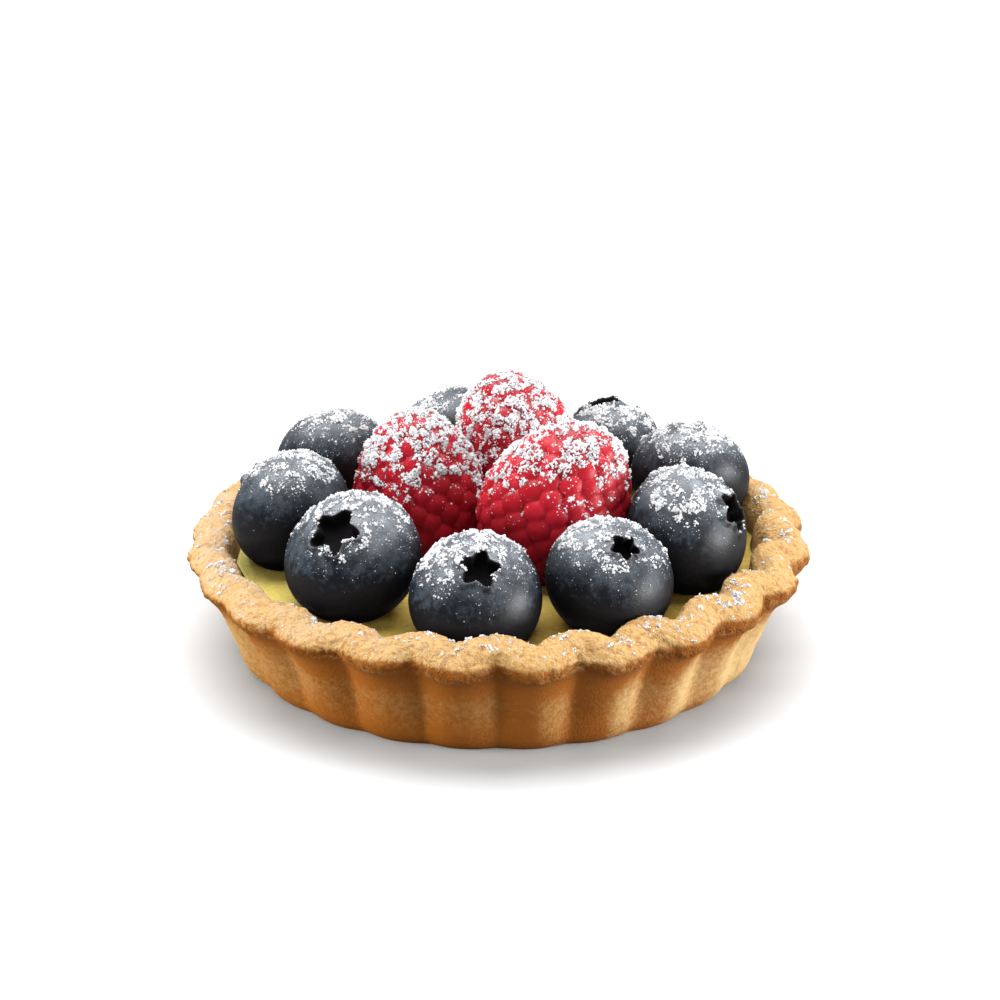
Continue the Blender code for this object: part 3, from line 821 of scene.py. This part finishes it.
# %% The finish of the blueberries
blue_finish, tree, shader = new_material("blueberry skin")
bare = (0.006, 0.008, 0.013, 1.0)
bloom = (0.060, 0.079, 0.100, 1.0)
shade = (0.008, 0.008, 0.010, 1.0)
dry_edge = (0.045, 0.032, 0.034, 1.0)
star_dark = (0.004, 0.003, 0.004, 1.0)
dusted = (0.58, 0.63, 0.68, 1.0)
rubbed = noise_of(tree, 0.9, 5.0)
cover = range_of(tree, sum_of(tree, (noise_of(tree, 3.6, 4.0), 1.0), (rubbed, 0.35)), 0.50, 0.86)
speckle = range_of(tree, noise_of(tree, 0.17, 3.0), 0.38, 0.66, 0.35, 1.0)
cover = math_of(tree, "MULTIPLY", cover, speckle)
skin = mixed(tree, cover, bare, bloom)
# The skin facing down is darkened to near black, a painted shade, with a ragged edge.
ragged = range_of(tree, rubbed, 0.3, 0.7, 0.25, -0.25)
shaded = math_of(tree, "ADD", value_of(tree, "painted_shade_below"), ragged)
skin = mixed(tree, range_of(tree, shaded, 0.15, 0.80), skin, shade)
skin = mixed(tree, value_of(tree, "dried"), skin, dry_edge)
skin = mixed(tree, value_of(tree, "inside"), skin, star_dark)
haze_out = place_group(tree, haze, Settled=value_of(tree, "dust"), Reach=0.36, Film=0.52)
skin = mixed(tree, haze_out["Mask"], skin, dusted)
rough = range_of(tree, cover, 0.0, 1.0, 0.40, 0.60)
rough = mixed(tree, value_of(tree, "inside"), rough, (1.0, 1.0, 1.0, 1.0))
sockets = {"Base Color": skin, "Roughness": rough, "Specular IOR Level": 0.36}
set_sockets(tree, shader, sockets)
height = sum_of(tree, (noise_of(tree, 0.5, 4.0), 0.25), (haze_out["Height"], 1.0))
bump(tree, shader, height, 0.12)

# %% The nine blueberries
for index, (rings, inside, dried) in enumerate(blueberry_shapes):
    normals = grid_normals(rings)
    opened, clump = settled(rings, normals, 0.0, 60 + index)
    dust = opened * (0.75 + 0.25 * smooth_step(-0.6, 0.6, clump)) * (1.0 - inside)
    # Facing down: the share of painted shade on the underside.
    painted_shade_below = smooth_step(-0.70, 0.15, -normals[..., 2])
    values = {"inside": inside, "dried": dried, "dust": dust, "painted_shade_below": painted_shade_below}
    mesh = closed_mesh(f"berry_blue_{index + 1}", rings, values)
    add_piece(f"berry_blue_{index + 1}", mesh, blue_finish, "blueberry", f"blueberry_{index + 1}")

# %% [markdown]
# ## Raspberry flesh
# A raspberry's beads are thin-skinned and full of juice: red light travels through them, so
# subsurface scattering reaches a couple of millimetres for red and hardly at all for the rest.
# The seams between beads are darker, a painted shade, and no two beads are quite the same red.

# %% The finish of the raspberries
red_finish, tree, shader = new_material("raspberry flesh")
bright_red, deep_red = (0.54, 0.014, 0.030, 1.0), (0.40, 0.008, 0.017, 1.0)
seam_shade_red, quiet_red = (0.22, 0.004, 0.010, 1.0), (0.30, 0.06, 0.07, 1.0)
flesh = mixed(tree, value_of(tree, "bead"), bright_red, deep_red)
# Seams between beads are darkened, a painted shade.
flesh = mixed(tree, range_of(tree, value_of(tree, "seam"), 0.1, 0.8, 0.0, 0.6), flesh, seam_shade_red)
haze_out = place_group(tree, haze, Settled=value_of(tree, "dust"), Reach=0.46, Film=0.14)
flesh = mixed(tree, haze_out["Mask"], flesh, SUGAR_WHITE)
sockets = {
    "Base Color": for_bounces(tree, flesh, quiet_red),
    "Roughness": range_of(tree, haze_out["Mask"], 0.0, 1.0, 0.42, 0.85),
    "Specular IOR Level": 0.35,
    "Subsurface Weight": 0.55,
    "Subsurface Radius": (1.0, 0.18, 0.12),
    "Subsurface Scale": 0.0022,
}
set_sockets(tree, shader, sockets)
height = sum_of(tree, (noise_of(tree, 0.6, 4.0), 0.3), (haze_out["Height"], 1.0))
bump(tree, shader, height, 0.12)

# %% The three raspberries
for index, (rings, seam, number) in enumerate(raspberry_shapes):
    normals = grid_normals(rings)
    opened, clump = settled(rings, normals, 0.35, 80 + index)
    dust = opened * smooth_step(-0.8, 0.6, clump)
    values = {"seam": seam, "bead": number, "dust": dust}
    mesh = closed_mesh(f"berry_red_{index + 1}", rings, values)
    add_piece(f"berry_red_{index + 1}", mesh, red_finish, "raspberry", f"raspberry_{index + 1}")

# %% [markdown]
# ## Loose icing sugar
# Icing sugar is damp enough to stick to itself, so it lands as tufts, mostly under a millimetre
# across, with fine specks between them. A tuft's middle is drawn over the surface by area and
# kept where sugar settles. Chips, which are small uneven octahedra, are heaped round it, highest
# in the middle, and four-sided crystals make the specks.

# %% Places spread evenly over a surface
def drawn_places(rings, normals, count, chance):
    """Cells are drawn by their area, then a place inside each by two even shares."""
    right, under = np.roll(rings, -1, axis=1)[:-1], rings[1:]
    area = np.linalg.norm(np.cross(right - rings[:-1], under - rings[:-1]), axis=-1).ravel()
    cell = chance.choice(area.size, count, p=area / area.sum())
    row, column = np.divmod(cell, rings.shape[1])
    following = (column + 1) % rings.shape[1]
    down, side = chance.uniform(0, 1, (2, count, 1))
    corners = [(row, column), (row, following), (row + 1, column), (row + 1, following)]
    weights = [(1 - down) * (1 - side), (1 - down) * side, down * (1 - side), down * side]
    place = sum(rings[corner] * weight for corner, weight in zip(corners, weights))
    normal = sum(normals[corner] * weight for corner, weight in zip(corners, weights))
    return place, normal / np.linalg.norm(normal, axis=-1, keepdims=True)


# %% Tufts of chips and the specks round them
DRAWS_PER_TUFT, SPECKS_PER_TUFT = 40, 9
SMALLEST_TUFT, CHIP_SPACING, HEAP_HEIGHT = 0.10, 0.17, 0.55
LIFT = 0.02


def sugar_places(rings, tufts, seed, lean, need, widest, extra=None):
    """Chips and specks in mm with their sizes. Need is how strongly the noise has to rise on a
    place that faces up before a tuft holds there; a tuft's half width is drawn so that most are small."""
    chance = np.random.default_rng(seed)
    place, normal = drawn_places(rings, grid_normals(rings), tufts * DRAWS_PER_TUFT, chance)
    outward = place - rings.mean(axis=(0, 1))
    outward = outward / np.linalg.norm(outward, axis=-1, keepdims=True)
    opened, clump = settled(place, normal + outward if lean else normal, lean, seed)
    if extra:
        opened = opened * extra(place)
    strength = 1.2 * opened - need + 0.8 * clump
    fits = chance.uniform(0, 1, len(place)) < smooth_step(-0.15, 0.35, strength)
    middle = np.flatnonzero(fits & (opened > 0.05))[:tufts]
    half = widest * chance.uniform(0, 1, len(middle)) ** 1.8
    half = SMALLEST_TUFT + half * smooth_step(-0.3, 0.6, strength[middle])
    chips = np.maximum(1, (half / CHIP_SPACING) ** 2 * 1.15).astype(int)
    owner = np.repeat(np.arange(len(middle)), chips)
    reach = np.sqrt(chance.uniform(0, 1, len(owner))) * half[owner]
    heading = chance.uniform(0, math.tau, len(owner))
    up = normal[middle][owner]
    across = np.cross(up, [0.31, 0.17, 0.93])
    across = across / np.linalg.norm(across, axis=-1, keepdims=True)
    sideways = np.cross(up, across)
    squeeze = chance.uniform(0.45, 1.0, len(middle))[owner]
    turned = chance.uniform(0, math.tau, len(middle))[owner]
    u, v = reach * np.cos(heading), reach * np.sin(heading) * squeeze
    u, v = u * np.cos(turned) - v * np.sin(turned), u * np.sin(turned) + v * np.cos(turned)
    dome = half[owner] * HEAP_HEIGHT * (1.0 - (reach / half[owner]) ** 2)
    heap = LIFT + dome * chance.uniform(0, 1, len(owner))
    flat = across * u[:, None] + sideways * v[:, None]
    chip_places = place[middle][owner] + flat + up * heap[:, None]
    chip_sizes = chance.uniform(0.08, 0.21, len(owner))
    chip_sizes = chip_sizes * (0.75 + 0.5 * smooth_step(0.1, 0.6, half[owner]))
    likely = 0.05 * opened**0.6 + 0.45 * smooth_step(-0.5, 0.4, strength)
    stray = (chance.uniform(0, 1, len(place)) < likely) & (opened > 0.03)
    stray = np.flatnonzero(stray)[: tufts * SPECKS_PER_TUFT]
    speck_places = place[stray] + normal[stray] * LIFT
    speck_sizes = 0.03 + 0.08 * chance.uniform(0, 1, len(stray)) ** 2
    return (chip_places, chip_sizes), (speck_places, speck_sizes)


# %% One mesh of many small solids
CRYSTAL = np.array([(1, 1, 1), (-1, -1, 1), (-1, 1, -1), (1, -1, -1)]) / math.sqrt(3.0)
CRYSTAL_FACES = np.array([(0, 2, 1), (0, 1, 3), (0, 3, 2), (1, 2, 3)])
CHIP = np.array([(1, 0, 0), (-1, 0, 0), (0, 1, 0), (0, -1, 0), (0, 0, 1), (0, 0, -1)], dtype=float)
CHIP_FACES = [(0, 2, 4), (2, 1, 4), (1, 3, 4), (3, 0, 4), (2, 0, 5), (1, 2, 5), (3, 1, 5), (0, 3, 5)]
CHIP_FACES = np.array(CHIP_FACES)


def tumbled(shape, faces, places, sizes, chance):
    """Corners and faces of one copy of the shape at each place: each copy is stretched, each of its
    corners is pulled in or out a little, and it is turned by a quaternion of four normal draws."""
    count = len(places)
    copies = shape * sizes[:, None, None] * chance.uniform(0.6, 1.3, (count, 1, 3))
    copies = copies * chance.uniform(0.75, 1.15, (count, len(shape), 1))
    spin = chance.normal(size=(count, 4))
    w, x, y, z = (spin / np.linalg.norm(spin, axis=1, keepdims=True)).T
    rows = [
        [1 - 2 * (y * y + z * z), 2 * (x * y - z * w), 2 * (x * z + y * w)],
        [2 * (x * y + z * w), 1 - 2 * (x * x + z * z), 2 * (y * z - x * w)],
        [2 * (x * z - y * w), 2 * (y * z + x * w), 1 - 2 * (x * x + y * y)],
    ]
    corners = np.einsum("ijn,nkj->nki", np.array(rows), copies) + places[:, None]
    return corners.reshape(-1, 3), (faces + len(shape) * np.arange(count)[:, None, None]).reshape(-1, 3)


def sugar_piece(name, surfaces, most_chips, most_specks):
    """One piece of sugar over several surfaces, thinned evenly where more was drawn than is wanted."""
    chance = np.random.default_rng(len(name))
    drawn = [sugar_places(*surface) for surface in surfaces]
    points, faces = np.zeros((0, 3)), np.zeros((0, 3), int)
    kinds = (("chips", CHIP, CHIP_FACES, most_chips), ("specks", CRYSTAL, CRYSTAL_FACES, most_specks))
    for kind, (label, shape, sides, most) in enumerate(kinds):
        places = np.concatenate([found[kind][0] for found in drawn])
        sizes = np.concatenate([found[kind][1] for found in drawn])
        print(name, label, "drawn:", len(places), "kept at most:", most)
        kept = chance.permutation(len(places))[:most]
        more, joined = tumbled(shape, sides, places[kept], sizes[kept], chance)
        faces = np.concatenate([faces, joined + len(points)])
        points = np.concatenate([points, more])
    mesh = filled_mesh(name, points, faces.ravel(), np.full(len(faces), 3), {}, smooth=False)
    add_piece(name, mesh, sugar_finish)


# %% The finish of the sugar
sugar_finish, tree, shader = new_material("icing sugar")
bright, dull = (0.84, 0.845, 0.86, 1.0), (0.74, 0.745, 0.765, 1.0)
tone = range_of(tree, noise_of(tree, 0.5, 2.0), 0.3, 0.7)
sockets = {
    "Base Color": mixed(tree, tone, bright, dull),
    "Roughness": range_of(tree, tone, 0.0, 1.0, 0.75, 0.95),
    "Specular IOR Level": 0.3,
}
set_sockets(tree, shader, sockets)

# %% Sugar on the raspberries, the blueberries and the rim
# Each surface: its rings, the most tufts, a seed, lean, need, the widest half width in mm.
RED_NEEDS = (0.64, 0.10, 0.76)
past_star = FLOOR_STEPS + WALL_STEPS - 2
reds = [(shape[0], 1200, 80 + k, 0.50, RED_NEEDS[k], 0.72) for k, shape in enumerate(raspberry_shapes)]
blues = [
    (shape[0][past_star:], 360, 60 + k, 0.0, 0.90, 0.72) for k, shape in enumerate(blueberry_shapes)
]
upper = [(crust_rings, 900, 51, 0.0, 1.08, 0.50, lambda place: smooth_step(13.4, 14.4, place[:, 2]))]
sugar_piece("sugar_on_raspberries", reds, 22500, 4900)
sugar_piece("sugar_on_blueberries", blues, 17500, 14500)
sugar_piece("sugar_on_rim", upper, 7000, 5000)

# %% [markdown]
# ## Floor, light and camera
# The tart stands on a plain white table under a large soft light from above and a little behind,
# with a low card at each side and a weak fill in front, so that the front of the case falls into
# soft shade. The camera looks down at 23 degrees from 0.4 metres with a long lens.

# %% The table
floor_mesh = bpy.data.meshes.new("table")
TABLE_HALF = 3.0
corners = [(x * TABLE_HALF, y * TABLE_HALF, 0.0) for x, y in ((-1, -1), (1, -1), (1, 1), (-1, 1))]
floor_mesh.from_pydata(corners, [], [(0, 1, 2, 3)])
table = linked("table", floor_mesh)
table_finish, tree, shader = new_material("white table")
paper = place_group(tree, grain, Size=0.7)
board, board_speck = (0.760, 0.763, 0.768, 1.0), (0.740, 0.743, 0.748, 1.0)
body = mixed(tree, paper["Speck"], board, board_speck)
sockets = {
    "Base Color": for_bounces(tree, body, (0.16, 0.16, 0.16, 1.0)),
    "Roughness": range_of(tree, paper["Height"], 0.0, 1.0, 0.75, 0.9),
    "Specular IOR Level": 0.2,
}
set_sockets(tree, shader, sockets)
floor_mesh.materials.append(table_finish)


# %% Soft lights
TART_MIDDLE = Vector((0.0, 0.0, 0.015))


def soft_light(name, place, size, power):
    """A flat light that faces the middle of the tart."""
    data = bpy.data.lights.new(name, "AREA")
    data.shape = "RECTANGLE"
    data.size, data.size_y = size
    data.energy = power
    lamp = linked(name, data)
    turned = (TART_MIDDLE - Vector(place)).to_track_quat("-Z", "Y").to_matrix().to_4x4()
    lamp.matrix_world = Matrix.Translation(Vector(place)) @ turned
    return lamp


soft_light("top softbox", (-0.015, 0.165, 0.62), (0.80, 0.64), 8.5)
soft_light("right card", (0.50, -0.14, 0.08), (0.34, 0.16), 3.3)
soft_light("left card", (-0.52, -0.08, 0.08), (0.30, 0.18), 3.4).visible_glossy = False
soft_light("front fill", (0.0, -0.45, 0.35), (0.50, 0.30), 0.85).visible_glossy = False
world = bpy.data.worlds.new("studio")
bpy.context.scene.world = world
world.use_nodes = True
surround = world.node_tree.nodes["Background"]
surround.inputs["Color"].default_value = (1.0, 1.0, 1.0, 1.0)
surround.inputs["Strength"].default_value = 0.09
bpy.context.scene.view_settings.view_transform = "Standard"

# %% The camera
FOCUS_PIXELS, PHOTO_PIXELS = 3079.0, 1000.0
TART_PIXEL_X, TART_PIXEL_Y = 496.8, 552.4
LOOK_DOWN, DISTANCE, LOOK_HEIGHT, SENSOR = 23.48, 0.4, 0.012, 36.0
rise = math.radians(LOOK_DOWN)
ahead = Vector((0.0, math.cos(rise), -math.sin(rise)))
upward = Vector((0.0, math.sin(rise), math.cos(rise)))
eye = Vector((0.0, 0.0, LOOK_HEIGHT)) - ahead * DISTANCE
right_way = Vector((1.0, 0.0, 0.0)) * (PHOTO_PIXELS / 2 - TART_PIXEL_X)
look = ahead * FOCUS_PIXELS + right_way + upward * (TART_PIXEL_Y - PHOTO_PIXELS / 2)
camera_data = bpy.data.cameras.new("camera")
camera_data.sensor_width = SENSOR
camera_data.lens = SENSOR * FOCUS_PIXELS / PHOTO_PIXELS
camera = linked("camera", camera_data)
camera.matrix_world = Matrix.Translation(eye) @ look.to_track_quat("-Z", "Y").to_matrix().to_4x4()
bpy.context.scene.camera = camera
print("camera lens in mm:", round(camera_data.lens, 1))
